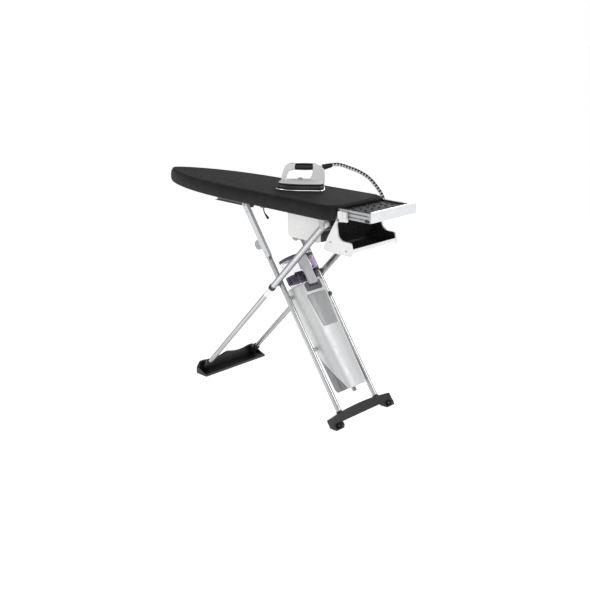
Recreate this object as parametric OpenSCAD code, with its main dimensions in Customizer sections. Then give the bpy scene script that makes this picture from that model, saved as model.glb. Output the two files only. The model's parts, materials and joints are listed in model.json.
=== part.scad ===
// Steam ironing board: a padded board on a scissor stand, with a sliding tray and bin at
// the tail, a steam generator with a lift-out water tank between the inner legs, a blower
// under the board, and the iron with its steam hose.
// X runs along the board (nose at -X, tail at +X), Y across it, Z up from the floor.

/* [Board] */
// Height of the ironing surface above the floor
board_top = 954; // [940:1:960]
// X of the board's nose tip
board_nose = -714; // [-740:1:-690]
// X of the board's tail edge
board_tail = 550; // [545:1:555]
// Half width of the board along its middle
board_half = 176; // [172:1:180]
// Extra half width gained towards the tail
board_flare = 8; // [4:1:10]
// Length of the tapering nose
nose_taper = 650; // [550:10:700]
// Radius of the two tail corners
tail_r = 78; // [70:1:85]
// Drop of the cover's side skirt below the ironing surface
cover_drop = 60; // [58:1:62]
// Thickness of the cover's top
cover_t = 3; // [3:0.5:4]

/* [Stand] */
// X of the pivot where the legs cross
cross_x = 185; // [184:1:186]
// Height of the pivot where the legs cross
cross_z = 557; // [556:1:558]
// Angle between the outer legs and the floor
outer_angle = 47; // [46.5:0.5:47.5]
// Angle between the inner legs and the floor
inner_angle = 55; // [54.5:0.5:55.5]
// Crossing pivot to the hinge under the board, along the outer leg
outer_up = 434; // [430:1:436]
// Crossing pivot to the end of the outer leg's tube
outer_down = 692; // [690:1:694]
// Crossing pivot to the rollers, along the inner leg
inner_up = 388; // [386:1:390]
// Crossing pivot to the end of the inner leg's tube
inner_down = 640; // [636:1:644]
// Half distance between the outer legs
outer_y = 156; // [155:1:158]
// Half distance between the inner legs
inner_y = 121; // [120:1:122]
// Radius of the outer legs' upper tubes
upper_r = 14; // [13.5:0.5:14]
// Radius of the outer legs' telescoping lower tubes
lower_r = 11; // [10:0.5:11]
// Radius of the inner legs' tubes
inner_r = 11.5; // [11:0.5:12]
// Radius of the crossing pivot pins
pivot_r = 6; // [5:0.5:7]
// Radius of the hole in the two disc brackets
disc_bore_r = 5.5; // [5:0.5:6]
// Half length of both feet
foot_half = 196; // [194:1:198]
// Radius of the transport wheels
wheel_r = 13; // [12:0.5:13]

/* [Tray and bin] */
// X of the tray's front face
tray_front = 714; // [712:1:716]
// Half width of the tray's front panel
tray_half = 138; // [136:1:138]
// Height of the tray's front panel
panel_h = 43; // [40:1:44]
// Half width over the bin's side walls
bin_half = 145; // [144:1:146]

/* [Iron] */
// Length of the soleplate
iron_len = 215; // [210:1:220]
// Half width of the soleplate
iron_half = 52; // [50:1:54]
// Angle of the iron to the board's length
iron_turn = 42; // [40:1:44]
// X of the iron's tip
iron_x = 103; // [100:1:106]
// Y of the iron's tip
iron_y = -68; // [-72:1:-64]

/* [Hidden] */
$fn = 48;
gap = 0.3;
fit = 0.05;

skirt_z = board_top - cover_drop;
pan_z = skirt_z + 6;
felt_z = board_top - cover_t;
air_z = felt_z - 5;
slot_half = 141;
// Cover's edge as [distance in from the board's outline, depth below its top]: outside
// from the hem up, then inside from the felt down
cover_outside = [[2, cover_drop], [0.3, 49], [0, 39], [0.6, 30], [2.2, 22], [5, 15], [8.6, 9.5],
    [13, 5], [18.5, 2], [26, 0.3], [34, 0]];
cover_inside = [[22, cover_t], [16.8, 6], [13.6, 8], [12.4, 9.5], [8.8, 15], [6, 22],
    [6, cover_drop]];
hinge_r = 5;
rail_y = 99;
guide_at = [501.5, 191, 886];
axle_r = 4;
roller_r = 8;
fan_x = 306;
fan_r = 78;
side_t = 8;
bin_top = 893;
iron_z = board_top;
grip_z = 100;
button_x = 70;
hose_r = 7.5;

// Steam hose: from the iron's boot, over in an arch, and down beside the tail corner
hose_route = [
    [284.93, 95.81, 1063.17], [289.97, 100.35, 1064.86], [300, 108, 1066.2],
    [314, 116, 1065], [330, 124, 1061.5],
    [348, 130, 1056.5], [366, 136, 1052], [383, 141, 1047], [399, 146, 1041],
    [414, 151, 1034], [429, 156, 1026], [442, 160, 1017], [454, 164, 1007],
    [464, 168, 996], [473, 173, 984], [481, 178, 971], [488, 184, 958],
    [494, 188, 944], [499, 190, 932], [501.5, 191, 923], [501.5, 191, 916]
];

// ---------------------------------------------------------------- shared functions

// Half width of a tapering plan shape at fraction u of its taper, 0 at the tip
function nose_shape(u) = u >= 1 ? 1 : pow(max(0, 1 - pow(1 - u, 2.2)), 0.714);

// Near side of a tapering plan shape: tip at x0, square end with rounded corners at x1
function plan_side(x0, x1, half, taper, corner, flare, steps) = concat(
    [for (k = [1:steps])
        let (u = pow(k / steps, 1.6))
        [x0 + u * taper, half * nose_shape(u)]],
    [for (k = [1:3])
        let (u = k / 3, x = x0 + taper + u * (x1 - corner - x0 - taper))
        [x, half + flare * u]],
    [for (k = [1:6])
        let (a = k * 15)
        [x1 - corner + corner * sin(a), half + flare - corner + corner * cos(a)]]
);

// Whole plan shape, counter-clockwise from the tip
function plan(x0, x1, half, taper, corner, flare, steps) =
    let (side = plan_side(x0, x1, half, taper, corner, flare, steps), n = len(side))
    concat([[x0, 0]], [for (p = side) [p[0], -p[1]]], [for (k = [n - 1:-1:0]) side[k]]);

// Board outline, moved inwards by inset
function board_plan(inset) = plan(board_nose + inset, board_tail - inset, board_half - inset,
    nose_taper, tail_r - inset / 2, board_flare, 18);

// Iron outline in its own frame, moved inwards by inset
function iron_plan(inset, tail_in) = plan(inset, iron_len - tail_in, iron_half - inset,
    120, min(26, iron_half - inset - 1), 0, 10);

// A flat outline lifted to height z
function ring(outline, z) = [for (p = outline) [p[0], p[1], z]];

// Rounded rectangle section of half sizes a and b, with a superellipse exponent
function section(a, b, power, cx) = [for (k = [0:31])
    let (t = k * 11.25, c = cos(t), s = sin(t))
    [cx + a * sign(c) * pow(abs(c), 2 / power), b * sign(s) * pow(abs(s), 2 / power)]];

function unit(v) = v / norm(v);

// ---------------------------------------------------------------- shared modules

// Closed skin over a stack of rings that all have the same number of points
module loft(rings) {
    n = len(rings[0]);
    m = len(rings);
    polyhedron(
        points = [for (r = rings) each r],
        faces = concat(
            [[for (i = [0:n - 1]) i]],
            [for (k = [0:m - 2], i = [0:n - 1]) each [
                [k * n + i, (k + 1) * n + i, (k + 1) * n + (i + 1) % n],
                [k * n + i, (k + 1) * n + (i + 1) % n, k * n + (i + 1) % n]]],
            [[for (i = [n - 1:-1:0]) (m - 1) * n + i]]),
        convexity = 8);
}

// Round tube swept along a list of points
module sweep(route, r, sides) {
    last = len(route) - 1;
    side_ref = [0.3, -1, 0];
    loft([for (k = [0:last])
        let (
            t = unit(route[min(last, k + 1)] - route[max(0, k - 1)]),
            u = unit(cross(t, side_ref)),
            v = cross(t, u))
        [for (i = [0:sides - 1])
            let (a = -360 * i / sides)
            route[k] + r * (cos(a) * v + sin(a) * u)]]);
}

// A side-view outline (x, z) given thickness from y0 to y1
module slab(y0, y1) {
    translate([0, y1, 0]) rotate([90, 0, 0]) linear_extrude(y1 - y0) children();
}

// Cylinder along Y from y0 to y1
module rod_y(r, y0, y1) {
    translate([0, y0, 0]) rotate([-90, 0, 0]) cylinder(r = r, h = y1 - y0);
}

// Frame of the outer legs: local Z runs up along the leg from the crossing pivot
module on_outer(y = 0) {
    translate([cross_x, y, cross_z]) rotate([0, 90 - outer_angle, 0]) children();
}

// Frame of the inner legs: local Z runs up along the leg, local X faces the tail
module on_inner(y = 0) {
    translate([cross_x, y, cross_z]) rotate([0, inner_angle - 90, 0]) children();
}

// Frame of the iron: local X runs from tip to heel, local Z up from the ironing surface
module on_iron() {
    translate([iron_x, iron_y, iron_z]) rotate([0, 0, iron_turn]) children();
}

// Straight box from two corners
module block(low, high) {
    translate(low) cube(high - low);
}

hinge_x = cross_x + outer_up * cos(outer_angle);
hinge_z = cross_z + outer_up * sin(outer_angle);
roller_x = cross_x - inner_up * cos(inner_angle);
roller_z = cross_z + inner_up * sin(inner_angle);

// ---------------------------------------------------------------- board

// Sheet-steel pan: floor and side wall, open at the tail for the tray and below for the fan
module board_pan() {
    color("dimgray") difference() {
        translate([0, 0, pan_z]) linear_extrude(air_z - pan_z) polygon(board_plan(14));
        translate([0, 0, pan_z + 2]) linear_extrude(air_z - pan_z) polygon(board_plan(19));
        block([board_tail - 40, -slot_half, pan_z + 6], [board_tail + 5, slot_half, air_z + 1]);
        translate([fan_x, 0, pan_z - 1]) cylinder(r = fan_r, h = 5);
    }
    color("dimgray") for (s = [-1, 1])
        block([345, s > 0 ? 133 : -138, pan_z + 1.9], [519, s > 0 ? 138 : -133, 907.7]);
}

// Slotted steel sheet that carries the padding and lets the air through
module air_plate() {
    color("lightgray") difference() {
        translate([0, 0, air_z]) linear_extrude(2) polygon(board_plan(17.2));
        for (x = [-540:90:450], y = [-1:1])
            block([x, y * 60 - 5, air_z - 1], [x + 50, y * 60 + 5, air_z + 3]);
    }
}

// Felt padding
module felt_pad() {
    color("gainsboro") loft([ring(board_plan(17.2), air_z + 2), ring(board_plan(22.4), felt_z)]);
}

// Fitted cover: rounded edge, side skirt and the slot at the tail that the tray runs in
module cover() {
    color([0.17, 0.17, 0.18]) difference() {
        loft(concat([for (e = cover_inside) ring(board_plan(e[0]), board_top - e[1])],
            [for (e = cover_outside) ring(board_plan(e[0]), board_top - e[1])]));
        block([board_tail - 30, -slot_half, skirt_z - 1],
            [board_tail + 5, slot_half, air_z]);
    }
}

// Channel under the board that a leg roller runs in, closed on its inner side
module roller_rail(side) {
    low = roller_z - roller_r - 3.5;
    high = roller_z + roller_r + 3.5;
    x0 = roller_x - 226;
    x1 = roller_x + 22;
    y0 = side * (rail_y - 9);
    y1 = side * (rail_y + 7);
    color("dimgray") {
        block([x0, min(y0, y0 + side * 2), low - 2], [x1, max(y0, y0 + side * 2), pan_z]);
        for (z = [low - 2, high])
            block([x0, min(y0, y1), z], [x1, max(y0, y1), z + 2]);
    }
}
module roller_rails() {
    roller_rail(-1);
    roller_rail(1);
}

// Clevises under the board for the tops of the outer legs
module leg_brackets() {
    color("gray") for (side = [-1, 1], y = [outer_y - 20, outer_y + 14.4])
        difference() {
            slab(side > 0 ? y : -y - 4.5, side > 0 ? y + 4.5 : -y)
                polygon([[hinge_x - 26, pan_z], [hinge_x - 14, hinge_z - 10],
                    [hinge_x - 6, hinge_z - 15], [hinge_x + 6, hinge_z - 15],
                    [hinge_x + 10, hinge_z - 10], [hinge_x + 10, pan_z]]);
            translate([hinge_x, 0, hinge_z]) rod_y(hinge_r, -200, 200);
        }
}

// Pins that the outer legs hang on
module leg_hinge_pins() {
    color("silver") for (s = [-1, 1])
        translate([hinge_x, s * outer_y, hinge_z]) {
            rod_y(hinge_r, s > 0 ? -22 : -19, s > 0 ? 19 : 22);
            rod_y(hinge_r + 3, s > 0 ? 18.9 : -21, s > 0 ? 21 : -18.9);
        }
}

// Fan housing: white box with rounded lower corners, open at the top and at its end
module blower_housing() {
    x0 = 208;
    x1 = 404;
    z0 = 768;
    r = 18;
    color("white") difference() {
        slab(-100, 100) union() {
            translate([x0, z0 + r]) square([x1 - x0, pan_z - z0 - r]);
            translate([x0 + r, z0]) square([x1 - x0 - 2 * r, r + 1]);
            for (x = [x0 + r, x1 - r]) translate([x, z0 + r]) circle(r = r);
        }
        block([x0 + 4, -96, z0 + 5], [x1 + 1, 96, pan_z + 1]);
        for (x = [228:14:384]) block([x, -60, z0 - 1], [x + 6, 60, z0 + 6]);
    }
}

// Black end plate of the fan housing
module blower_endplate() {
    color([0.08, 0.08, 0.08]) block([404, -100, 776], [412, 100, pan_z]);
}

// Motor standing in the fan housing
module fan_motor() {
    color("darkgray") translate([fan_x, 0, 773]) {
        cylinder(r = 34, h = 42);
        cylinder(r = 4, h = 88);
    }
}

// Centrifugal fan wheel on the motor's shaft
module fan_impeller() {
    color([0.25, 0.25, 0.27]) translate([fan_x, 0, 820]) {
        difference() {
            cylinder(r = 72, h = 3);
            translate([0, 0, -1]) cylinder(r = 4 + fit, h = 5);
        }
        difference() {
            translate([0, 0, 2.9]) cylinder(r = 10, h = 30);
            translate([0, 0, 2]) cylinder(r = 4 + fit, h = 32);
        }
        for (a = [0:30:330])
            rotate([0, 0, a]) translate([38, -1, 2.9]) rotate([0, 0, 25]) cube([30, 2, 36]);
    }
}

// Bracket that the height lever hangs from
module lever_bracket() {
    color("gray") difference() {
        for (y = [-157, -147]) block([96, y, 884], [114, y + 4, pan_z]);
        translate([105, 0, 891]) rod_y(3, -170, -140);
    }
}

// Height lever: boss, pin, curved stem and teardrop knob
module height_lever() {
    color([0.1, 0.1, 0.1]) translate([105, -150, 891]) {
        rod_y(4.8, -2.6, 2.6);
        rod_y(3 - fit, -7, 7);
        rotate([0, 158, 0]) translate([0, 0, 4]) cylinder(r1 = 2.6, r2 = 2.6, h = 26);
        translate([11.2, 0, -27.8]) sphere(r = 2.7);
        translate([11.2, 0, -27.8]) rotate([0, 132, 0]) cylinder(r1 = 2.6, r2 = 6, h = 27);
        translate([31.3, 0, -45.9]) sphere(r = 6.2);
    }
}

// ---------------------------------------------------------------- bin and tray

// Side view of a bin wall: narrow neck, low front and an S-shaped cut between
module bin_side(side) {
    far = side * bin_half;
    near = side * (bin_half - side_t);
    color("white") {
        slab(min(near, far), max(near, far)) polygon(concat(
            [[546, 907], [546, bin_top], [527, bin_top], [514, 872], [494, 836], [476, 802],
                [463, 776]],
            [for (a = [180:15:270]) [475 + 12 * cos(a), 771 + 12 * sin(a)]],
            [[540, 757], [604, 757]],
            [for (a = [-90:22.5:0]) [604 + 17 * cos(a), 774 + 17 * sin(a)]],
            [[616, 788]],
            [for (a = [0:22.5:90]) [600 + 13 * cos(a), 801 + 13 * sin(a)]],
            [[575, 814]],
            [for (a = [270:-15:180]) [572 + 36 * cos(a), 850 + 36 * sin(a)]],
            [[531, 878], [534, 888], [546, 892], [588, 896], [588, 907]]));
        slab(side > 0 ? near : far + 4.5, side > 0 ? far - 4.5 : near)
            translate([503, bin_top - 1]) square([27, pan_z - bin_top + 1]);
        corner_bracket(side);
    }
}

// Rounded block that ties a bin wall to the corner of the board
module corner_bracket(side) {
    far = side * (bin_half + 8);
    near = side * (tray_half + 2.3);
    slab(min(near, far), max(near, far)) union() {
        translate([544, 906.9]) square([44, 25.2]);
        translate([550, 931.8]) square([32, 6.2]);
        for (x = [550, 582]) translate([x, 932]) circle(r = 6);
    }
}
module bin_side_near() { bin_side(-1); }
module bin_side_far() { bin_side(1); }

// Curved bottom, front lip and back of the bin, one white sheet between the walls
module bin_bottom() {
    inner = bin_half - side_t;
    color("whitesmoke") slab(-inner, inner) difference() {
        polygon([[527, pan_z], [521, 890], [494, 846], [470, 790], [466, 772], [475, 760], [540, 758],
            [604, 758], [616, 764], [620, 776], [616, 788], [608, 788]]);
        polygon([[533, pan_z + 1], [527, 890], [500, 846], [475, 790], [472, 774], [478, 765],
            [540, 762], [603, 762], [612, 767], [615, 776], [612, 789], [700, 789],
            [700, pan_z + 1]]);
    }
}

// Black plastic liner: sloping back, floor and low side walls
module bin_liner() {
    inner = bin_half - side_t - 0.2;
    color([0.1, 0.1, 0.1]) difference() {
        slab(-inner, inner) polygon(concat(
            [[529, bin_top], [500.6, 845], [475.6, 789], [472.5, 774], [478.5, 765.5],
                [540, 762], [602, 762], [611, 768]],
            [for (a = [0:22.5:90]) [599 + 12 * cos(a), 799 + 12 * sin(a)]],
            [for (a = [270:-22.5:180]) [572 + 38 * cos(a), 849 + 38 * sin(a)]],
            [[531, 878], [534, bin_top]]));
        slab(3 - inner, inner - 3) polygon([[534, bin_top + 1], [503.6, 844], [479, 788],
            [476, 776], [480, 769.5], [540, 766.5], [601, 766.5], [607, 770], [607.5, 786],
            [700, 786], [700, bin_top + 1]]);
    }
}

// Silver front panel of the tray
module tray_panel() {
    z0 = board_top - panel_h;
    color("gainsboro") difference() {
        block([tray_front - 10, -tray_half, z0], [tray_front, tray_half, board_top]);
        block([tray_front - 11, -tray_half + 4, z0 + 4],
            [tray_front - 5, tray_half - 4, board_top - 14]);
    }
}

// Black plastic tray with a raised rim
module tray_frame() {
    x0 = 470;
    x1 = tray_front - 10;
    half = tray_half - 6;
    color([0.12, 0.12, 0.12]) difference() {
        block([x0, -half, 924], [x1, half, 944]);
        block([x0 + 4, 4 - half, 934], [x1 - 4, half - 4, 945]);
        for (y = [-1, 1]) block([x0 - 1, y * 62 - 54, 923], [x1 - 5, y * 62 + 54, 930]);
    }
}

// Rubber mat with rows of studs
module tray_mat() {
    x0 = 475;
    x1 = tray_front - 15;
    half = tray_half - 11;
    color([0.3, 0.3, 0.3]) {
        block([x0, -half, 934], [x1, half, 938]);
        for (row = [0:6], col = [0:5])
            translate([x0 + 12 + row * 33, (col - 2.5) * 42 + (row % 2) * 10 - 5, 937.9])
                cylinder(r = 5, h = 3.6);
    }
}

// Steel side rails that carry the tray through the corner brackets
module tray_rails() {
    y0 = tray_half - 6;
    y1 = tray_half + 1;
    color("silver") for (s = [-1, 1])
        difference() {
            block([470, s > 0 ? y0 : -y1, 908], [tray_front - 10, s > 0 ? y1 : -y0, 945]);
            block([469, s > 0 ? y1 - 2.5 : -y1 - 1, 915],
                [tray_front - 24, s > 0 ? y1 + 1 : 2.5 - y1, 921]);
            block([469, s > 0 ? y1 - 2.5 : -y1 - 1, 932],
                [tray_front - 24, s > 0 ? y1 + 1 : 2.5 - y1, 938]);
        }
}

// Clip beside the tail corner that takes the end of the steam hose
module hose_guide() {
    color([0.1, 0.1, 0.1]) {
        translate(guide_at) cylinder(r = hose_r + 2, h = 30);
        block([496, 150, 888], [510, 188, 893.5]);
        block([496, 148, 893.4], [510, 160, pan_z]);
    }
}

// ---------------------------------------------------------------- outer legs

// Hollow upper tube with a slot along its inner face
module outer_tube(side) {
    color("silver") on_outer(side * outer_y) difference() {
        translate([0, 0, -17]) cylinder(r = upper_r, h = outer_up);
        translate([0, 0, -18]) cylinder(r = upper_r - 2, h = outer_up + 2);
        block([-3, side > 0 ? -20 : 10, 40], [3, side > 0 ? -10 : 20, outer_up - 60]);
    }
}
module outer_tube_near() { outer_tube(-1); }
module outer_tube_far() { outer_tube(1); }

// White eye caps that close the upper tubes and turn on the hinge pins
module outer_end_caps() {
    color("white") for (s = [-1, 1]) on_outer(s * outer_y) difference() {
        union() {
            translate([0, 0, outer_up - 60]) cylinder(r = upper_r - 2, h = 43);
            block([-11, -12, outer_up - 17], [11, 12, outer_up]);
            translate([0, 0, outer_up]) rod_y(11, -12, 12);
        }
        translate([0, 0, outer_up]) rod_y(hinge_r + fit, -30, 30);
    }
}

// Bar that ties the two upper tubes together
module outer_top_bar() {
    color("silver") difference() {
        on_outer() translate([0, 0, outer_up - 44]) rod_y(7, -outer_y, outer_y);
        for (s = [-1, 1]) on_outer(s * outer_y) cylinder(r = upper_r, h = outer_up);
    }
}

// Crossing pivots: a saddle on each outer tube and the pin that the inner leg turns on
module pivot_pins() {
    color("dimgray") for (s = [-1, 1]) on_outer(s * outer_y) {
        difference() {
            rod_y(13, s > 0 ? -21 : 8, s > 0 ? -8 : 21);
            translate([0, 0, -30]) cylinder(r = upper_r, h = 60);
        }
        rod_y(pivot_r, s > 0 ? -47 : 21, s > 0 ? -21 : 47);
    }
}

// Plastic bushes that the lower tubes slide in, with a black collar under each upper tube
module leg_bushes() {
    for (s = [-1, 1]) on_outer(s * outer_y) {
        color("white") difference() {
            union() {
                translate([0, 0, -84]) cylinder(r = upper_r - 1, h = 67);
                translate([0, 0, -17]) cylinder(r = upper_r - 2, h = 50);
            }
            translate([0, 0, -90]) cylinder(r = lower_r + fit, h = 130);
        }
    }
}

// Telescoping lower tube
module lower_tube(side) {
    color("silver") on_outer(side * outer_y) translate([0, 0, -outer_down]) difference() {
        cylinder(r = lower_r, h = outer_down + 20);
        translate([0, 0, 30]) cylinder(r = lower_r - 1.5, h = outer_down);
    }
}
module lower_tube_near() { lower_tube(-1); }
module lower_tube_far() { lower_tube(1); }

// Top edge of the front foot's wavy wall at distance y from the middle
function wave_top(y) = let (d = abs(y))
    d > 186 ? 46 - (d - 186) * 1.6
    : d > 176 ? 58 - (d - 176) * 1.2
    : 54 + 9 * exp(-pow(d / 30, 2)) + 4 * exp(-pow((d - 160) / 28, 2))
        - 4 * exp(-pow((d - 88) / 34, 2));

// Moulded front foot: base strip, wavy wall and a socket for each tube
module front_foot() {
    x0 = -331;
    ys = [for (y = [-foot_half:7:foot_half]) y];
    color([0.09, 0.09, 0.09]) difference() {
        union() {
            block([x0, -foot_half, 0], [-258, foot_half, 12]);
            translate([x0 + 13, 0, 0]) rotate([90, 0, -90]) linear_extrude(13)
                polygon(concat([for (y = ys) [-y, wave_top(y)]],
                    [[-foot_half, 1], [foot_half, 1]]));
            for (s = [-1, 1]) {
                on_outer(s * outer_y) translate([0, 0, -outer_down - 60])
                    cylinder(r = 17, h = 78);
                slab(s > 0 ? foot_half - 5 : -foot_half, s > 0 ? foot_half : 5 - foot_half)
                    polygon([[x0 + 12, 11], [-266, 11], [-290, 20], [x0 + 12, 34]]);
            }
        }
        block([-400, -300, -200], [-200, 300, 0]);
        block([-400, -300, -1], [x0, 300, 100]);
        for (s = [-1, 1]) on_outer(s * outer_y) translate([0, 0, -outer_down])
            cylinder(r = lower_r, h = 60);
    }
}

// ---------------------------------------------------------------- inner legs

channel_low = 126;

// Round lower tube with the pivot hole through it
module inner_tube(side) {
    color("silver") on_inner(side * inner_y) difference() {
        translate([0, 0, -inner_down]) cylinder(r = inner_r, h = inner_down + channel_low);
        translate([0, 0, 30]) cylinder(r = inner_r - 2, h = channel_low);
        translate([0, 0, -inner_down + 30]) cylinder(r = inner_r - 2, h = inner_down - 60);
        rod_y(pivot_r + fit, -20, 20);
    }
}
module inner_tube_near() { inner_tube(-1); }
module inner_tube_far() { inner_tube(1); }

// Box-section upper leg, rounded over at the roller end
module inner_channel(side) {
    color("gainsboro") on_inner(side * inner_y) difference() {
        slab(-8.5, 8.5) union() {
            translate([-13, channel_low]) square([26, inner_up - channel_low]);
            translate([0, inner_up]) circle(r = 13);
        }
        block([-10, side > 0 ? -10 : -6, channel_low + 12],
            [10, side > 0 ? 6 : 10, inner_up - 14]);
        translate([0, 0, inner_up]) rod_y(axle_r, -20, 20);
    }
}
module inner_channel_near() { inner_channel(-1); }
module inner_channel_far() { inner_channel(1); }

// Plates with a round eye on the nose side of each leg channel
module disc_brackets() {
    color("silver") for (side = [-1, 1]) on_inner(side * inner_y) difference() {
        slab(side > 0 ? -7 : 1, side > 0 ? -1 : 7) union() {
            translate([-34, 201]) circle(r = 23);
            polygon([[-13.01, 164], [-26, 180], [-40, 201], [-26, 222], [-13.01, 244]]);
        }
        block([-13, -20, 100], [30, 20, 300]);
        translate([-34, 0, 201]) rod_y(disc_bore_r, -20, 20);
    }
}

// Stub axles at the tops of the inner legs
module roller_axles() {
    color("silver") on_inner() translate([0, 0, inner_up]) for (s = [-1, 1]) {
        rod_y(axle_r, s > 0 ? rail_y - 5 : -inner_y - 11, s > 0 ? inner_y + 11 : 5 - rail_y);
        translate([0, s * (inner_y - 11), 0]) rod_y(7, -1.5, 1.5);
    }
}

// Rollers that run in the channels under the board
module rollers() {
    color([0.15, 0.15, 0.15]) for (s = [-1, 1])
        on_inner(s * rail_y) translate([0, 0, inner_up]) difference() {
            rod_y(roller_r, -4.5, 4.5);
            rod_y(axle_r + fit, -9, 9);
        }
}

arch_low = -664;

// Height of the rear foot's upper edge at distance y from the middle, along the leg
function arch_top(y) = -619 - 15 * pow(abs(y) / foot_half, 2);

// Arched rear foot with a pad at each end and slots for the wheels
module rear_foot() {
    ys = [for (k = [0:24]) -foot_half + k * foot_half / 12];
    color([0.09, 0.09, 0.09]) difference() {
        on_inner() translate([-14, 0, 0]) rotate([90, 0, 90]) linear_extrude(30)
            polygon(concat([for (k = [24:-1:0]) [ys[k], arch_top(ys[k])]],
                [[-foot_half, -700], [-146, -700], [-138, arch_low], [138, arch_low],
                [146, -700], [foot_half, -700]]));
        block([400, -300, -300], [700, 300, 0]);
        for (s = [-1, 1]) {
            on_inner(s * inner_y) translate([0, 0, -inner_down]) cylinder(r = inner_r, h = 60);
            translate([594, s * 166, 20]) rod_y(wheel_r + 2, -9, 9);
        }
    }
    color([0.09, 0.09, 0.09]) for (s = [-1, 1], y = [-12.5, 9.5])
        translate([594, s * 166, 20]) slab(y, y + 3) difference() {
            union() {
                circle(r = 8);
                rotate(90 - inner_angle) translate([-14, -6.5]) square([14, 13]);
            }
            circle(r = 3);
        }
}

// Axle pins of the wheels
module wheel_axles() {
    color("silver") for (s = [-1, 1]) translate([594, s * 166, 20]) rod_y(3, -14, 14);
}

// Transport wheel
module wheel(side) {
    color([0.1, 0.1, 0.1]) translate([594, side * 166, 20]) difference() {
        rod_y(wheel_r, -8, 8);
        for (y = [-9, 5]) translate([0, y, 0]) difference() {
            rod_y(wheel_r - 4, 0, 4);
            rod_y(5, -1, 5);
        }
        rod_y(3 + fit, -9, 9);
    }
}
module wheel_near() { wheel(-1); }
module wheel_far() { wheel(1); }

// ---------------------------------------------------------------- generator

// Cross-section of the generator at height v on the leg: half width tapers downwards
function gen_half(v) = 92 + (v + 43) * 18 / 505;
gen_rows = [-549, -450, -350, -200, -43];
function gen_ring(v, wall) = ring(section(54 - wall, gen_half(v) - wall, 3.2, 6), v);

// Side view of what the front shell covers
module gen_front_profile() {
    polygon([[-60, -43], [70, -43], [70, -549], [48, -549], [38, -510], [20, -466],
        [-4, -410], [-27, -361], [-40, -300], [-47, -232], [-60, -190]]);
}

// Front shell of the generator
module generator_front() {
    color("lightgray") on_inner() difference() {
        intersection() {
            loft([for (v = gen_rows) gen_ring(v, 0)]);
            slab(-110, 110) gen_front_profile();
        }
        loft([for (v = [-546, -450, -350, -200, -42]) gen_ring(v, 3)]);
        block([40, -50, -82], [80, 50, -40]);
        translate([30, 0, -119]) rod_y(5 + fit, 70, 100);
    }
    color("gray") on_inner() for (v = [-330, -80], s = [-1, 1]) difference() {
        block([-22, s > 0 ? gen_half(v) - 3 : -inner_y, v - 9],
            [-7, s > 0 ? inner_y : 3 - gen_half(v), v + 9]);
        translate([0, s * inner_y, v - 11]) cylinder(r = inner_r, h = 22);
    }
}

// Back shell of the generator, scooped towards its foot
module generator_back() {
    color("gray") on_inner() difference() {
        intersection() {
            loft([for (v = [-545, -450, -350, -200, -43]) gen_ring(v, 1)]);
            slab(-110, 110) difference() {
                polygon([[-60, -180], [80, -180], [80, -545], [-12, -545], [-34, -520],
                    [-47, -470], [-60, -380]]);
                gen_front_profile();
            }
        }
        loft([for (v = [-542, -450, -350, -200, -42]) gen_ring(v, 4)]);
        translate([18, 0, -550]) cylinder(r = 5 + fit, h = 20);
    }
}

// Boiler inside the shells
module boiler() {
    color("silver") on_inner() translate([4, 0, -430]) difference() {
        union() {
            cylinder(r = 38, h = 260);
            translate([0, 0, 259]) cylinder(r = 12, h = 30);
        }
        translate([0, 0, 4]) cylinder(r = 35, h = 250);
    }
}

// Dark U-shaped trim around the foot of the tank handle
module generator_trim() {
    color("dimgray") on_inner() difference() {
        block([46, -50, -82], [59, 50, -43]);
        block([50, -29, -64], [60, 29, -40]);
        for (s = [-1, 1]) translate([40, s * 50, -82]) rotate([0, 90, 0])
            rotate([0, 0, 45]) cube([18, 18, 60], center = true);
    }
}

// Blank rating plate that follows the curve of the front shell
module label_plate() {
    color("darkgray") on_inner() difference() {
        intersection() {
            loft([for (v = gen_rows) gen_ring(v, -1.2)]);
            translate([40, 0, 0]) rotate([90, 0, 90])
                linear_extrude(40) polygon([[-50, -100], [-38, -256], [38, -256], [50, -100]]);
        }
        loft([for (v = gen_rows) gen_ring(v, 0)]);
    }
}

// Socket for the mains lead, low on the back shell
module power_inlet() {
    color([0.1, 0.1, 0.1]) on_inner() translate([-47, 0, -300]) difference() {
        block([-12, -16, -14], [-0.1, 16, 14]);
        block([-13, -12, -9], [-3, 12, 9]);
    }
}

// Pressure knob on the far side of the generator
module pressure_knob() {
    color("gray") on_inner() translate([30, 90, -119]) {
        rod_y(5, -9, 4);
        rod_y(11, 3.9, 15);
    }
}

// Drain plug under the boiler
module drain_plug() {
    color("silver") on_inner() translate([18, 0, -566]) {
        cylinder(r = 10, h = 20, $fn = 6);
        translate([0, 0, 19.9]) cylinder(r = 5, h = 9);
    }
}

// ---------------------------------------------------------------- water tank

tank_low = -43 + gap;
tank_front = 44;
function tank_ring(v, a, b, cx = 16) = ring(section(a, b, 3.4, cx), v);

// Translucent tank, a little wider at its foot
module water_tank() {
    color([0.6, 0.5, 0.75, 0.6]) on_inner() difference() {
        loft([tank_ring(tank_low, 28, 85), tank_ring(-28, 30, 88), tank_ring(9, 30, 88),
            tank_ring(12, 28, 86), tank_ring(80, 28, 86)]);
        loft([tank_ring(tank_low + 3, 25, 82), tank_ring(-28, 27, 85), tank_ring(9, 27, 85),
            tank_ring(12, 25, 83), tank_ring(81, 25, 83)]);
    }
}

// Dark rim that closes the tank
module tank_lid() {
    color([0.3, 0.22, 0.4]) on_inner() loft([tank_ring(80, 29, 88), tank_ring(88, 29, 88),
        tank_ring(94, 25, 80), tank_ring(97, 16, 60)]);
}

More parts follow.
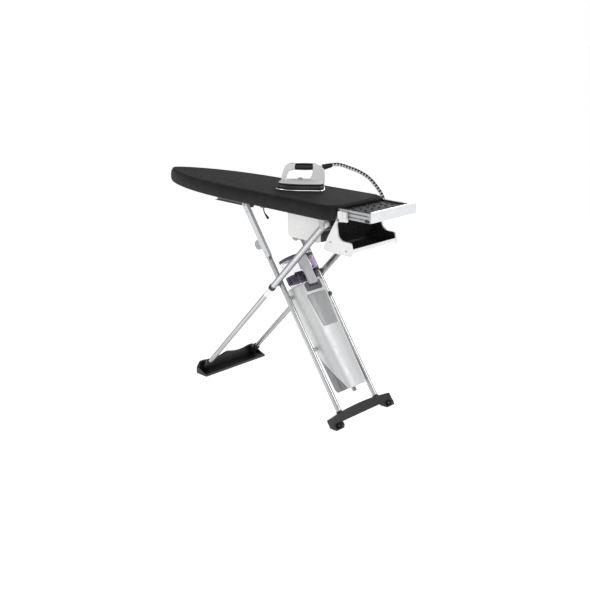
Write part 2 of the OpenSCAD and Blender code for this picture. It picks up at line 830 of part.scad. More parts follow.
// Grey grip plate that lifts the tank out
module tank_handle() {
    color("gainsboro") on_inner() {
        difference() {
            translate([60.5, 0, 0]) rotate([90, 0, 90]) linear_extrude(8) union() {
                translate([-25, -49]) square([50, 127]);
                translate([-17, -57]) square([34, 10]);
                for (s = [-1, 1]) translate([s * 17, -49]) circle(r = 8);
            }
            translate([66, 0, -40]) rotate([0, 90, 0]) cylinder(r = 3, h = 4);
        }
        block([tank_front, -18, 22], [60.6, 18, 72]);
    }
}

// Water filter cartridge and ribbed outlet valve on the tank's front
module tank_filter() {
    color("plum") on_inner() translate([tank_front + 15, 56, 4]) {
        cylinder(r = 12, h = 74);
        for (z = [-8, 0, 66, 73]) translate([0, 0, z]) cylinder(r = 14.5, h = 4);
        for (z = [16, 60])
            translate([0, 0, z]) rotate([0, -90, 0]) cylinder(r = 5, h = 16.4);
    }
    color([0.12, 0.12, 0.12]) on_inner() translate([tank_front + 11, 0, 6]) {
        rod_y(5, -70, -29);
        translate([0, -35, 0]) rotate([0, -90, 0]) cylinder(r = 3, h = 8.6);
        for (y = [-70:9:-34]) translate([0, y, 0]) rod_y(8, 0, 5);
    }
}

// ---------------------------------------------------------------- iron

// Polished soleplate with a bevelled edge
module iron_soleplate() {
    color("silver") on_iron() loft([ring(iron_plan(4, 4), 0.3), ring(iron_plan(0, 0), 3),
        ring(iron_plan(0, 0), 6), ring(iron_plan(3, 3), 8)]);
}

iron_rear = [[150, 44], [165, 38], [205, 31], [212, 36], [214, 84], [206, 100], [190, 110], [163, 116],
    [163, 84], [156, 60]];

// Body of the iron: black heat shield, white skirt, and the posts that carry the grip
module iron_body() {
    on_iron() difference() {
        union() {
            color([0.12, 0.12, 0.12])
                loft([ring(iron_plan(4, 4), 8), ring(iron_plan(3, 3), 12),
                    ring(iron_plan(10, 6), 24), ring(iron_plan(18, 10), 31)]);
            color("white") {
                loft([ring(iron_plan(12, 6), 27), ring(iron_plan(16, 7), 33),
                    ring(iron_plan(26, 10), 43), ring(iron_plan(36, 20), 48)]);
                slab(-13, 13) polygon([[26, 40], [28, 66], [34, 92], [44, 108], [60, 116],
                    [84, 116], [84, 90], [66, 89], [60, 80], [57, 64], [58, 46]]);
                slab(-15, 15) polygon(iron_rear);
            }
        }
        translate([button_x, 0, 109]) cylinder(r = 5.4, h = 10);
    }
}

// Black grip between the posts, and the boot that the hose leaves by
module iron_grip() {
    color([0.08, 0.08, 0.08]) on_iron() {
        translate([84, 0, grip_z + 1]) rotate([0, 90, 0]) cylinder(r = 14.5, h = 79);
        difference() {
            translate([196, 0, 97]) rotate([0, 76, 0]) cylinder(r1 = 12, r2 = 9, h = 50);
            slab(-15, 15) polygon(iron_rear);
        }
    }
}

// Steam button in the top of the front post
module steam_button() {
    color("lightgray") on_iron() translate([button_x, 0, 111.2]) cylinder(r = 5, h = 6.3);
}

// Steam dial on the body between the posts
module steam_dial() {
    color("gray") on_iron() translate([108, 0, 48 + gap]) {
        cylinder(r = 10, h = 3);
        translate([-8, -1.5, 2.9]) cube([16, 3, 3]);
    }
}

// Steam hose from the iron's boot to the clip beside the board
module steam_hose() {
    color([0.45, 0.45, 0.45]) sweep(hose_route, hose_r, 10);
}

board_pan();
air_plate();
felt_pad();
cover();
roller_rails();
leg_brackets();
leg_hinge_pins();
blower_housing();
blower_endplate();
fan_motor();
fan_impeller();
height_lever();
lever_bracket();
bin_side_near();
bin_side_far();
bin_bottom();
bin_liner();
tray_panel();
tray_frame();
tray_mat();
tray_rails();
hose_guide();
outer_tube_near();
outer_tube_far();
outer_end_caps();
outer_top_bar();
pivot_pins();
leg_bushes();
lower_tube_near();
lower_tube_far();
front_foot();
inner_tube_near();
inner_tube_far();
inner_channel_near();
inner_channel_far();
disc_brackets();
roller_axles();
rollers();
rear_foot();
wheel_near();
wheel_far();
wheel_axles();
generator_front();
generator_back();
boiler();
generator_trim();
label_plate();
power_inlet();
pressure_knob();
drain_plug();
water_tank();
tank_lid();
tank_handle();
tank_filter();
iron_soleplate();
iron_body();
iron_grip();
steam_button();
steam_dial();
steam_hose();
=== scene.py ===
import json
import math
import bmesh
import bpy
from mathutils import Matrix, Vector, noise

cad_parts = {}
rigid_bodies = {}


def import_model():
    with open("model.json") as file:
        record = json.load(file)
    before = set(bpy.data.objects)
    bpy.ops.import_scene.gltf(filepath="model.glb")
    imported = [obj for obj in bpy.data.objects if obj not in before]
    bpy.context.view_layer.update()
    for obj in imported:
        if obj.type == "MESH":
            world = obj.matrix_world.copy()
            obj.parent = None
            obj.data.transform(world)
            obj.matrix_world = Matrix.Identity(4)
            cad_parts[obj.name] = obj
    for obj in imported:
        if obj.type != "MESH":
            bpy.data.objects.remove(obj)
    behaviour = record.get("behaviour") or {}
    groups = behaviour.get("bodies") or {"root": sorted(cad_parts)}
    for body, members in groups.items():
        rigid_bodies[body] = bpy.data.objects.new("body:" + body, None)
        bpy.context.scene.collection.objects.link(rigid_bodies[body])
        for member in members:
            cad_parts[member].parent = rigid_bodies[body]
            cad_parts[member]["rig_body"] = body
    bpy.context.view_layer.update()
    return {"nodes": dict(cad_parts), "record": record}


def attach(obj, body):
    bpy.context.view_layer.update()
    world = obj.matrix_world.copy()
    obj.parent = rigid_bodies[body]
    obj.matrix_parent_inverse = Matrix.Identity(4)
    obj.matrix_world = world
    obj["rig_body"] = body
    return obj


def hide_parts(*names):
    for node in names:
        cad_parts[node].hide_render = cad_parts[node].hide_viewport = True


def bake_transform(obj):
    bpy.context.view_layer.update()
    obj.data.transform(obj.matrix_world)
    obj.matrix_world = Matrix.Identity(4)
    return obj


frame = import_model()
MM = 0.001

# ---------------------------------------------------------------- frames of the parts
# Each matrix takes millimetres in a part's own frame to metres in the row frame.


def local_frame(origin, x_axis, z_axis):
    """Origin in millimetres in the row frame; Y is the cross product of the two axes."""
    x, z = Vector(x_axis).normalized(), Vector(z_axis).normalized()
    y = z.cross(x)
    m = Matrix((x, y, z)).transposed().to_4x4()
    m.translation = Vector(origin) * MM
    return m @ Matrix.Scale(MM, 4)


OUTER_ANGLE, INNER_ANGLE, IRON_TURN = (math.radians(a) for a in (47, 55, 42))
PIVOT = (185, 0, 557)
ROW = Matrix.Scale(MM, 4)
OUTER = local_frame(
    PIVOT,
    (math.sin(OUTER_ANGLE), 0, -math.cos(OUTER_ANGLE)),
    (math.cos(OUTER_ANGLE), 0, math.sin(OUTER_ANGLE)),
)
INNER = local_frame(
    PIVOT,
    (math.sin(INNER_ANGLE), 0, math.cos(INNER_ANGLE)),
    (-math.cos(INNER_ANGLE), 0, math.sin(INNER_ANGLE)),
)
IRON = local_frame(
    (103, -68, 954), (math.cos(IRON_TURN), math.sin(IRON_TURN), 0), (0, 0, 1)
)

# ---------------------------------------------------------------- camera and light

AZIMUTH, ELEVATION, DISTANCE = math.radians(44.577), math.radians(17.482), 4.172
TARGET = Vector((0.154, 0, 0.4647))


def aim(obj, place, at):
    obj.location = place
    obj.rotation_mode = "QUATERNION"
    obj.rotation_quaternion = (Vector(at) - Vector(place)).to_track_quat("-Z", "Y")


def add_camera():
    data = bpy.data.cameras.new("camera")
    data.lens, data.sensor_width = 55.855, 36
    camera = bpy.data.objects.new("camera", data)
    bpy.context.scene.collection.objects.link(camera)
    back = Vector(
        (
            math.sin(AZIMUTH) * math.cos(ELEVATION),
            -math.cos(AZIMUTH) * math.cos(ELEVATION),
            math.sin(ELEVATION),
        )
    )
    aim(camera, TARGET + back * DISTANCE, TARGET)
    bpy.context.scene.camera = camera


def add_light(name, place, at, size, power):
    data = bpy.data.lights.new(name, "AREA")
    data.shape, data.size, data.energy = "SQUARE", size, power
    light = bpy.data.objects.new(name, data)
    bpy.context.scene.collection.objects.link(light)
    aim(light, place, at)


add_camera()
add_light("key", (2.4, -2.8, 2.7), (0.2, 0, 0.5), 2.6, 24)
add_light("front", (2.9, 1.2, 2.3), (0.25, 0, 0.4), 1.5, 38)
add_light("fill", (-1.8, -3.4, 2.5), (-0.1, 0, 0.9), 1.4, 17)
add_light("rim", (-1.4, 3.2, 2.2), (0.1, 0, 0.8), 1.4, 20)

# ---------------------------------------------------------------- materials


class Graph:
    """Small helper round one material's node tree; coordinates are metres in the row frame."""

    def __init__(self, name):
        self.material = bpy.data.materials.new(name)
        self.material.use_nodes = True
        self.tree = self.material.node_tree
        self.shader = self.tree.nodes["Principled BSDF"]
        self.place = self.add("ShaderNodeTexCoord").outputs["Object"]

    def add(self, kind, inputs=None, **settings):
        node = self.tree.nodes.new(kind)
        for key, value in settings.items():
            setattr(node, key, value)
        for key, value in (inputs or {}).items():
            if isinstance(value, bpy.types.NodeSocket):
                self.tree.links.new(value, node.inputs[key])
            else:
                node.inputs[key].default_value = value
        return node

    def stretched(self, scale):
        return self.add(
            "ShaderNodeMapping", {"Vector": self.place, "Scale": scale}
        ).outputs["Vector"]

    def noise(self, scale, detail=3, vector=None):
        return self.add(
            "ShaderNodeTexNoise",
            {"Vector": vector or self.place, "Scale": scale, "Detail": detail},
        ).outputs["Fac"]

    def ramp(self, factor, low, high):
        """A number from low to high as factor goes from 0.3 to 0.7."""
        node = self.add(
            "ShaderNodeMapRange",
            {
                "Value": factor,
                "From Min": 0.3,
                "From Max": 0.7,
                "To Min": low,
                "To Max": high,
            },
        )
        return node.outputs["Result"]

    def colour(self, factor, dark, light):
        node = self.add("ShaderNodeMix", data_type="RGBA")
        self.tree.links.new(self.ramp(factor, 0, 1), node.inputs["Factor"])
        node.inputs["A"].default_value = (*dark, 1)
        node.inputs["B"].default_value = (*light, 1)
        self.tree.links.new(node.outputs["Result"], self.shader.inputs["Base Color"])

    def bump(self, height, strength, distance, under=None):
        inputs = {"Height": height, "Strength": strength, "Distance": distance}
        if under:
            inputs["Normal"] = under
        normal = self.add("ShaderNodeBump", inputs).outputs["Normal"]
        self.tree.links.new(normal, self.shader.inputs["Normal"])
        return normal

    def feed(self, name, output):
        self.tree.links.new(output, self.shader.inputs[name])

    def fix(self, **values):
        names = {
            "metal": "Metallic",
            "rough": "Roughness",
            "coat": "Coat Weight",
            "coat_rough": "Coat Roughness",
            "sheen": "Sheen Weight",
            "sheen_rough": "Sheen Roughness",
            "clear": "Transmission Weight",
            "ior": "IOR",
            "alpha": "Alpha",
            "specular": "Specular IOR Level",
        }
        for key, value in values.items():
            self.shader.inputs[names[key]].default_value = value


def spread(colour, amount):
    """A darker and a lighter version of a colour."""
    return [c * (1 - amount) for c in colour], [min(1, c * (1 + amount)) for c in colour]


def plastic(name, colour, rough, grain=0.0, coat=0.0, variation=0.04):
    """Moulded plastic: cloudy gloss, slight colour drift, and a fine moulded grain."""
    g = Graph(name)
    g.colour(g.noise(9), *spread(colour, variation))
    g.feed("Roughness", g.ramp(g.noise(34, 5), rough * 0.82, rough * 1.2))
    flow = g.bump(g.noise(26, 2), 0.12, 0.0006)
    if grain:
        g.bump(g.noise(1500, 2), grain, 0.00012, flow)
    g.fix(coat=coat, coat_rough=0.08, specular=0.5)
    return g.material


def metal(name, colour, rough, streaks=(1, 1, 1), scratch=0.12, variation=0.06, edge=1.0):
    """Bare or plated steel, with hairlines stretched along one direction. An edge below 1 darkens the grazing
    reflections, which paints shade along the outlines of round parts.
    """
    g = Graph(name)
    lines = g.noise(420, 4, g.stretched(streaks))
    g.colour(g.noise(14), *spread(colour, variation))
    g.feed("Roughness", g.ramp(lines, rough * 0.7, rough * 1.35))
    g.bump(lines, scratch, 0.00008)
    g.fix(metal=1.0)
    # Edge tint of the reflections: low values paint shade along the outlines of the tubes.
    g.shader.inputs["Specular Tint"].default_value = (edge, edge, edge, 1)
    return g.material


def lacquer(name, colour, rough=0.36, metallic=0.55):
    """Silver paint: metal flake under a thin clear coat."""
    g = Graph(name)
    flake = g.add(
        "ShaderNodeTexVoronoi", {"Vector": g.place, "Scale": 1400.0}
    ).outputs["Distance"]
    g.colour(g.noise(6), *spread(colour, 0.035))
    g.feed("Roughness", g.ramp(g.noise(48, 4), rough * 0.85, rough * 1.15))
    g.bump(flake, 0.08, 0.00006)
    g.fix(metal=metallic, coat=0.2, coat_rough=0.25)
    return g.material


def rubber(name, colour, rough=0.62):
    g = Graph(name)
    g.colour(g.noise(40, 5), *spread(colour, 0.25))
    g.feed("Roughness", g.ramp(g.noise(120, 4), rough * 0.85, rough * 1.15))
    g.bump(g.noise(900, 3), 0.3, 0.0002)
    return g.material


def woven(name, dark, light, pitch, rough=0.86, sheen=0.25, relief=0.5):
    """Plain weave: two crossed sets of threads, seen along all three axes."""
    g = Graph(name)
    height = None
    for axis in ("X", "Y", "Z"):
        wave = g.add(
            "ShaderNodeTexWave",
            {"Vector": g.place, "Scale": 0.314 / pitch, "Distortion": 0.25},
            bands_direction=axis,
            wave_profile="SIN",
        ).outputs["Fac"]
        if height is None:
            height = wave
        else:
            height = g.add(
                "ShaderNodeMath", {0: height, 1: wave}, operation="ADD"
            ).outputs[0]
    fibres = g.noise(2600, 2)
    body = g.add("ShaderNodeMath", {0: height, 1: fibres}, operation="ADD").outputs[0]
    g.colour(g.noise(22, 6), dark, light)
    g.feed("Roughness", g.ramp(g.noise(60, 3), rough * 0.92, min(1, rough * 1.08)))
    g.bump(body, relief, pitch * 0.25)
    g.fix(sheen=sheen, sheen_rough=0.45, specular=0.25)
    return g.material


def tinted(name, colour, rough, alpha, clear):
    """Clear tinted moulding with faint flow marks."""
    g = Graph(name)
    g.colour(g.noise(12), *spread(colour, 0.06))
    g.feed("Roughness", g.ramp(g.noise(30), rough * 0.8, rough * 1.4))
    g.bump(g.noise(40, 2), 0.08, 0.0006)
    g.fix(clear=clear, ior=1.3, alpha=alpha, coat=0.3, coat_rough=0.05)
    return g.material


ROOT_2 = math.sqrt(2)


def braid(name):
    """Black and white hose braid: small diamonds laid diagonally over the tube's own UVs."""
    g = Graph(name)
    uv = g.add("ShaderNodeTexCoord").outputs["UV"]
    spun = {"Vector": uv, "Rotation": (0, 0, math.radians(45)), "Scale": (ROOT_2, ROOT_2, 1)}
    turned = g.add("ShaderNodeMapping", spun).outputs["Vector"]
    diamonds = g.add(
        "ShaderNodeTexChecker",
        {
            "Vector": turned,
            "Color1": (0.80, 0.80, 0.79, 1),
            "Color2": (0.008, 0.008, 0.009, 1),
            "Scale": 1.0,
        },
    )
    g.feed("Base Color", diamonds.outputs["Color"])
    g.feed("Roughness", g.ramp(g.noise(500, 3), 0.7, 0.95))
    threads = g.add(
        "ShaderNodeTexWave", {"Vector": turned, "Scale": 1.6}, bands_direction="X"
    ).outputs["Fac"]
    g.bump(threads, 0.5, 0.0003)
    g.fix(sheen=0.2, specular=0.2)
    return g.material


LOOKS = {
    "liner_black": plastic("liner_satin", (0.020, 0.020, 0.021), 0.26, 0.2),
    "bracket_paint": lacquer("bracket_grey_paint", (0.36, 0.365, 0.37), 0.3, 0.3),
    "board_steel": metal("pan_steel", (0.24, 0.245, 0.25), 0.42, (1, 6, 1), 0.2),
    "cover_cloth": woven(
        "cover_weave", (0.010, 0.010, 0.0105), (0.016, 0.016, 0.0165), 0.0011, 0.78, 0.03, 0.4
    ),
    "felt": woven("felt_wool", (0.52, 0.50, 0.46), (0.66, 0.64, 0.6), 0.0016, 0.95),
    # Chrome and zinc get a low last number: darkened grazing reflections, a painted shade along the tube
    # outlines.
    "chrome_tube": metal("chrome", (0.46, 0.465, 0.47), 0.26, (1, 1, 1), 0.03, 0.03, 0.1),
    "zinc_steel": metal("zinc", (0.42, 0.425, 0.43), 0.32, (1, 1, 9), 0.16, 0.06, 0.3),
    "white_plastic": plastic("white_gloss", (0.76, 0.76, 0.755), 0.24, coat=0.4),
    "channel_white": lacquer("channel_paint", (0.60, 0.61, 0.62), 0.34, 0.35),
    "black_plastic": plastic("black_grain", (0.008, 0.008, 0.0085), 0.4, 0.3),
    # Real dark trim on the generator and dial, and also painted shade in the bracket gap, rail grooves and
    # holes, and steam holes.
    "dark_trim": plastic("dark_satin_and_painted_shade", (0.10, 0.10, 0.105), 0.36, 0.2),
    "tray_silver": metal("tray_brushed", (0.72, 0.73, 0.74), 0.36, (1, 1, 14), 0.14),
    "mat_rubber": rubber("mat_silicone", (0.018, 0.018, 0.019)),
    "shell_silver": lacquer("shell_paint", (0.64, 0.645, 0.65), 0.5, 0.45),
    "shell_grey": lacquer("shell_dark_paint", (0.22, 0.225, 0.235), 0.36, 0.7),
    "label_grey": plastic("label_film", (0.34, 0.345, 0.35), 0.3, 0.1),
    "tank_clear": tinted("tank_tint", (0.90, 0.86, 0.97), 0.05, 0.34, 0.9),
    "tank_dark": tinted("tank_rim_tint", (0.085, 0.07, 0.115), 0.14, 0.86, 0.3),
    "filter_lilac": tinted("filter_tint", (0.66, 0.54, 0.84), 0.14, 0.8, 0.3),
    "sole_steel": metal("sole_polish", (0.78, 0.79, 0.80), 0.16, (1, 4, 1), 0.06),
    "grip_black": plastic("grip_soft", (0.007, 0.007, 0.0075), 0.42, 0.5),
    "button_grey": plastic("button_satin", (0.50, 0.51, 0.52), 0.34, 0.1),
    "hose_braid": braid("hose_braid"),
    "wheel_black": rubber("wheel_rubber", (0.010, 0.010, 0.011)),
    "boiler_steel": metal("boiler_shell", (0.60, 0.61, 0.62), 0.3, (1, 1, 5)),
}
SLOT_OF = {s["node"]: s["material_slot"] for s in frame["record"]["subparts"]}
BODY_OF = {
    node: body
    for body, nodes in frame["record"]["behaviour"]["bodies"].items()
    for node in nodes
}

# ---------------------------------------------------------------- mesh helpers


def new_mesh(name, points, faces, matrix=ROW, sharp=32, weld=0.0):
    """An object from points in a part's own frame. Edges sharper than sharp degrees stay hard."""
    bm = bmesh.new()
    made = [bm.verts.new(matrix @ Vector(p)) for p in points]
    for face in faces:
        if len(set(face)) > 2:
            bm.faces.new([made[i] for i in face])
    if weld:
        bmesh.ops.remove_doubles(bm, verts=bm.verts, dist=weld)
    bmesh.ops.recalc_face_normals(bm, faces=bm.faces)
    mesh = bpy.data.meshes.new(name)
    bm.to_mesh(mesh)
    bm.free()
    obj = bpy.data.objects.new(name, mesh)
    bpy.context.scene.collection.objects.link(obj)
    smooth(obj, sharp)
    return obj


def smooth(obj, sharp):
    obj.data.polygons.foreach_set("use_smooth", [True] * len(obj.data.polygons))
    obj.data.set_sharp_from_angle(angle=math.radians(sharp))


def skin(rings, wrap=True, first_cap=True, last_cap=True, skip=None):
    """Points and faces of a surface through rings that have equally many points."""
    n = len(rings[0])
    points = [p for ring in rings for p in ring]
    faces = []
    for k in range(len(rings) - 1):
        for i in range(n if wrap else n - 1):
            if skip and skip(k, i):
                continue
            j = (i + 1) % n
            faces.append((k * n + i, k * n + j, (k + 1) * n + j, (k + 1) * n + i))
    if first_cap:
        faces.append(tuple(range(n))[::-1])
    if last_cap:
        faces.append(tuple(range((len(rings) - 1) * n, len(rings) * n)))
    return points, faces


def bevel(obj, width, segments=3, angle=30):
    mod = obj.modifiers.new("edges", "BEVEL")
    mod.width, mod.segments = width * MM, segments
    mod.limit_method, mod.angle_limit = "ANGLE", math.radians(angle)
    mod.harden_normals = False
    return obj


def thicken(obj, depth, offset=-1):
    mod = obj.modifiers.new("wall", "SOLIDIFY")
    mod.thickness, mod.offset = depth * MM, offset
    return obj


def joined(name, objs):
    """One object out of several, with their modifiers applied."""
    bm = bmesh.new()
    for obj in objs:
        depsgraph = bpy.context.evaluated_depsgraph_get()
        mesh = bpy.data.meshes.new_from_object(obj.evaluated_get(depsgraph))
        mesh.transform(obj.matrix_world)
        bm.from_mesh(mesh)
        bpy.data.meshes.remove(mesh)
        bpy.data.objects.remove(obj)
    mesh = bpy.data.meshes.new(name)
    bm.to_mesh(mesh)
    bm.free()
    out = bpy.data.objects.new(name, mesh)
    bpy.context.scene.collection.objects.link(out)
    return out


def put(obj, body, slot, *nodes):
    """Gives a finished piece its look and its body, and hides the CAD nodes it stands for."""
    obj.data.materials.clear()
    obj.data.materials.append(LOOKS[slot])
    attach(obj, body)
    if nodes:
        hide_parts(*nodes)
    return obj


def prism(name, outline, y0, y1, matrix=ROW, round_by=1.5, segments=3):
    """A side-view outline given thickness across Y, with rounded edges."""
    n = len(outline)
    points = [(x, y0, z) for x, z in outline] + [(x, y1, z) for x, z in outline]
    faces = [tuple(range(n)), tuple(range(n, 2 * n))[::-1]]
    faces += [(i, i + n, (i + 1) % n + n, (i + 1) % n) for i in range(n)]
    obj = new_mesh(name, points, faces, matrix)
    return bevel(obj, round_by, segments) if round_by else obj


def turned(name, profile, start, axis, matrix=ROW, sides=48, sharp=40):
    """A solid of revolution: profile is (distance along the axis, radius)."""
    axis = Vector(axis).normalized()
    u = axis.orthogonal().normalized()
    v = axis.cross(u)
    rings = []
    for along, radius in profile:
        centre = Vector(start) + axis * along
        rings.append(
            [
                centre + radius * (math.cos(a) * u + math.sin(a) * v)
                for a in (2 * math.pi * i / sides for i in range(sides))
            ]
        )
    return new_mesh(name, *skin(rings), matrix, sharp)


def along(points, closed=False, steps=8):
    """A smooth line through points (Catmull-Rom)."""
    out = []
    n = len(points)
    for k in range(n if closed else n - 1):
        if closed:
            a, b, c, d = (Vector(points[(k + j) % n]) for j in (-1, 0, 1, 2))
        else:
            a, b = Vector(points[max(0, k - 1)]), Vector(points[k])
            c, d = Vector(points[k + 1]), Vector(points[min(n - 1, k + 2)])
        for s in range(steps):
            t = s / steps
            out.append(
                0.5
                * (
                    2 * b
                    + (c - a) * t
                    + (2 * a - 5 * b + 4 * c - d) * t * t
                    + (3 * b - a - 3 * c + d) * t * t * t
                )
            )
    if not closed:
        out.append(Vector(points[-1]))
    return out


def between(table, at):
    """Linear look-up in [(place, value), ...] sorted by place."""
    if at <= table[0][0]:
        return table[0][1]
    for (p, a), (q, b) in zip(table, table[1:]):
        if at <= q:
            return a + (b - a) * (at - p) / (q - p)
    return table[-1][1]


BRAID_AROUND, BRAID_PITCH = 2, 14.0


def tube(name, line, radius, sides=24, ripple=None, caps=True, matrix=ROW):
    """A tube along a line, with UVs counted in diamonds of braid. ripple(distance) adds to the radius."""
    line = [Vector(p) for p in line]
    rings, run = [], [0.0]
    side = None
    for k, here in enumerate(line):
        ahead = (line[min(len(line) - 1, k + 1)] - line[max(0, k - 1)]).normalized()
        if side is None:
            side = ahead.orthogonal().normalized()
        side = (side - ahead * side.dot(ahead)).normalized()
        other = ahead.cross(side)
        if k:
            run.append(run[-1] + (here - line[k - 1]).length)
        r = radius + (ripple(run[-1]) if ripple else 0)
        rings.append(
            [
                here + r * (math.cos(a) * side + math.sin(a) * other)
                for a in (2 * math.pi * i / sides for i in range(sides))
            ]
        )
    obj = new_mesh(name, *skin(rings, True, caps, caps), matrix, 50)
    layer = obj.data.uv_layers.new(name="UVMap")
    for face in obj.data.polygons:
        if len(face.vertices) != 4:
            continue
        rows = [v // sides for v in face.vertices]
        cols = [v % sides for v in face.vertices]
        for loop, row, col in zip(face.loop_indices, rows, cols):
            if col == 0 and max(cols) == sides - 1:
                col = sides
            layer.data[loop].uv = (col / sides * BRAID_AROUND, run[row] / BRAID_PITCH)
    return obj


# ---------------------------------------------------------------- steam hose

HOSE_RADIUS = 7.5
HOSE_ROUTE = [
    (284.93, 95.81, 1063.17),
    (289.97, 100.35, 1064.86),
    (300, 108, 1066.2),
    (314, 116, 1065),
    (330, 124, 1061.5),
    (348, 130, 1056.5),
    (366, 136, 1052),
    (383, 141, 1047),
    (399, 146, 1041),
    (414, 151, 1034),
    (429, 156, 1026),
    (442, 160, 1017),
    (454, 164, 1007),
    (464, 168, 996),
    (473, 173, 984),
    (481, 178, 971),
    (488, 184, 958),
    (494, 188, 944),
    (499, 190, 932),
    (501.5, 191, 923),
    (501.5, 191, 916),
]


def add_hose():
    line = along(HOSE_ROUTE, steps=12)
    hose = tube("steam_hose_braid", line, HOSE_RADIUS, 36)
    put(hose, "board", "hose_braid", "steam_hose")
    hose.parent = None
    hose.matrix_world = Matrix.Identity(4)
    del hose["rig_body"]
    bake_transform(hose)


add_hose()
# ---------------------------------------------------------------- cover and padding

BOARD_TOP, PLATE_Z = 954, 946
NOSE, TAIL, HALF, FLARE, TAPER, CORNER = -714, 550, 176, 8, 650, 78
SLOT_HALF = 147


def nose_shape(u):
    return 1 if u >= 1 else max(0, 1 - (1 - u) ** 2.2) ** 0.714


def half_plan(x0, x1, half, taper, corner, flare, steps):
    """Far side of a tapering plan shape, from its tip to the middle of its square end."""
    side = [
        (x0 + u * taper, half * nose_shape(u))
        for u in ((k / steps) ** 1.6 for k in range(1, steps + 1))
    ]
    run = x1 - corner - x0 - taper
    side += [(x0 + taper + run * k / 8, half + flare * k / 8) for k in range(1, 9)]
    for k in range(1, 13):
        a = math.radians(7.5 * k)
        side.append(
            (
                x1 - corner + corner * math.sin(a),
                half + flare - corner + corner * math.cos(a),
            )
        )
    return side


def whole_plan(x0, x1, half, taper, corner, flare, steps):
    side = half_plan(x0, x1, half, taper, corner, flare, steps)
    return [(x0, 0)] + [(x, -y) for x, y in side] + side[::-1]


def resampled(outline, count):
    """Evenly spaced points round an outline."""
    n = len(outline)
    lengths = [math.dist(outline[i], outline[(i + 1) % n]) for i in range(n)]
    total = sum(lengths)
    marks = [total * k / count for k in range(count)]
    out, i, run = [], 0, 0.0
    for mark in marks:
        while run + lengths[i] < mark:
            run += lengths[i]
            i += 1
        t = (mark - run) / lengths[i]
        (ax, ay), (bx, by) = outline[i], outline[(i + 1) % n]
        out.append((ax + (bx - ax) * t, ay + (by - ay) * t))
    return out


def board_outline(inset, count=340):
    corner = CORNER - inset / 2
    plan = whole_plan(
        NOSE + inset, TAIL - inset, HALF - inset, TAPER, corner, FLARE, 40
    )
    return resampled(plan, count)


def over_slot(x, y):
    return x > TAIL - 30 and abs(y) < SLOT_HALF


def cloth_relief(x, y):
    """Small unevenness of cloth stretched over felt, in millimetres."""
    return 0.35 * noise.noise((x / 90, y / 60, 3)) + 0.15 * noise.noise((x / 21, y / 17, 8))


def skirt_wave(x, y, depth):
    """The skirt's slight waves, growing towards its hem."""
    return depth * 0.9 * noise.noise((x / 55, y / 40, 5)) + depth * 0.4 * noise.noise(
        (x / 18, y / 18, 2)
    )


# Cloth beyond the board's outline, for the skirt and its turned hem
CLOTH_TURN = 66


def cut_area(outline, turn):
    """Flat area in square metres of a cloth cut to an outline grown by turn, both in mm."""
    edges = list(zip(outline, outline[1:] + outline[:1]))
    inside = abs(sum(a[0] * b[1] - b[0] * a[1] for a, b in edges)) / 2
    around = sum(math.dist(a, b) for a, b in edges)
    return round((inside + around * turn + math.pi * turn**2) / 1e6, 3)


def add_cover():
    rings = []
    base = board_outline(41)
    for s in [0.02, 0.12, 0.25, 0.4, 0.55, 0.7, 0.82, 0.91, 1.0]:
        ring = []
        for x, y in base:
            spine = (min(max(x, NOSE + 90), TAIL - 110), 0)
            px, py = spine[0] + (x - spine[0]) * s, spine[1] + (y - spine[1]) * s
            ring.append((px, py, BOARD_TOP - 0.5 + cloth_relief(px, py)))
        rings.append(ring)
    edge = [(34, 954, 0.1), (29, 953.85, 0.1), (24, 953.3, 0.1), (19, 952.2, 0.1), (15, 950.4, 0.2)]
    edge += [(11.6, 948, 0.2), (8.6, 944.6, 0.2), (6.2, 941, 0.3), (4.2, 937, 0.4), (2.6, 932.6, 0.5)]
    edge += [(1.3, 927, 0.6), (0.5, 921, 0.7), (0.2, 915, 0.8), (0.6, 909.5, 0.9), (1.3, 905, 0.8)]
    edge += [(1.9, 903, 0.5), (2.2, 901, 0.6), (3.0, 897, 0.6), (4.2, 894.9, 0.5), (5.4, 894.7, 0.4)]
    edge += [(6, 897, 0.2)]
    for k, (inset, z, depth) in enumerate(edge):
        ring = []
        for x, y in board_outline(inset):
            if over_slot(x, y) and z < PLATE_Z + 1:
                back = 3 + 6 * k / len(edge)
                x -= back
                z_here = PLATE_Z + 0.6
            else:
                swell = skirt_wave(x, y, depth) - 0.5 * depth
                d = Vector((x - min(max(x, NOSE + 300), TAIL - 120), y)).normalized()
                x, y, z_here = x + d.x * swell, y + d.y * swell, z
            ring.append((x, y, z_here))
        rings.append(ring)
    cover = new_mesh("cover_cloth", *skin(rings, True, True, False), ROW, 60)
    thicken(cover, 0.7)
    put(cover, "board", "cover_cloth", "cover")
    stitches = add_stitches(board_outline(0.0, 560), 904.8)
    cut_area(board_outline(0), CLOTH_TURN)


def add_stitches(outline, z):
    """One row of thread above the hem."""
    points, faces = [], []
    for k, (x, y) in enumerate(outline):
        if over_slot(x, y) or k % 2:
            continue
        nx, ny = outline[(k + 1) % len(outline)]
        ahead = Vector((nx - x, ny - y, 0)).normalized()
        out = Vector((ahead.y, -ahead.x, 0))
        centre = Vector((x, y, z)) + out * (-0.1 + skirt_wave(x, y, 0.9) * 0.9)
        first = len(points)
        for end, r in ((-1.9, 0.18), (-1.0, 0.42), (1.0, 0.42), (1.9, 0.18)):
            for a in range(6):
                t = math.pi * a / 3
                points.append(
                    centre + ahead * end + out * (r * math.cos(t)) + Vector((0, 0, r * math.sin(t)))
                )
        for ring in range(3):
            for a in range(6):
                b = (a + 1) % 6
                low, high = first + ring * 6, first + ring * 6 + 6
                faces.append((low + a, low + b, high + b, high + a))
        faces.append(tuple(first + a for a in range(6))[::-1])
        faces.append(tuple(first + 18 + a for a in range(6)))
    thread = new_mesh("cover_stitches", points, faces, ROW, 70)
    return put(thread, "board", "cover_cloth")


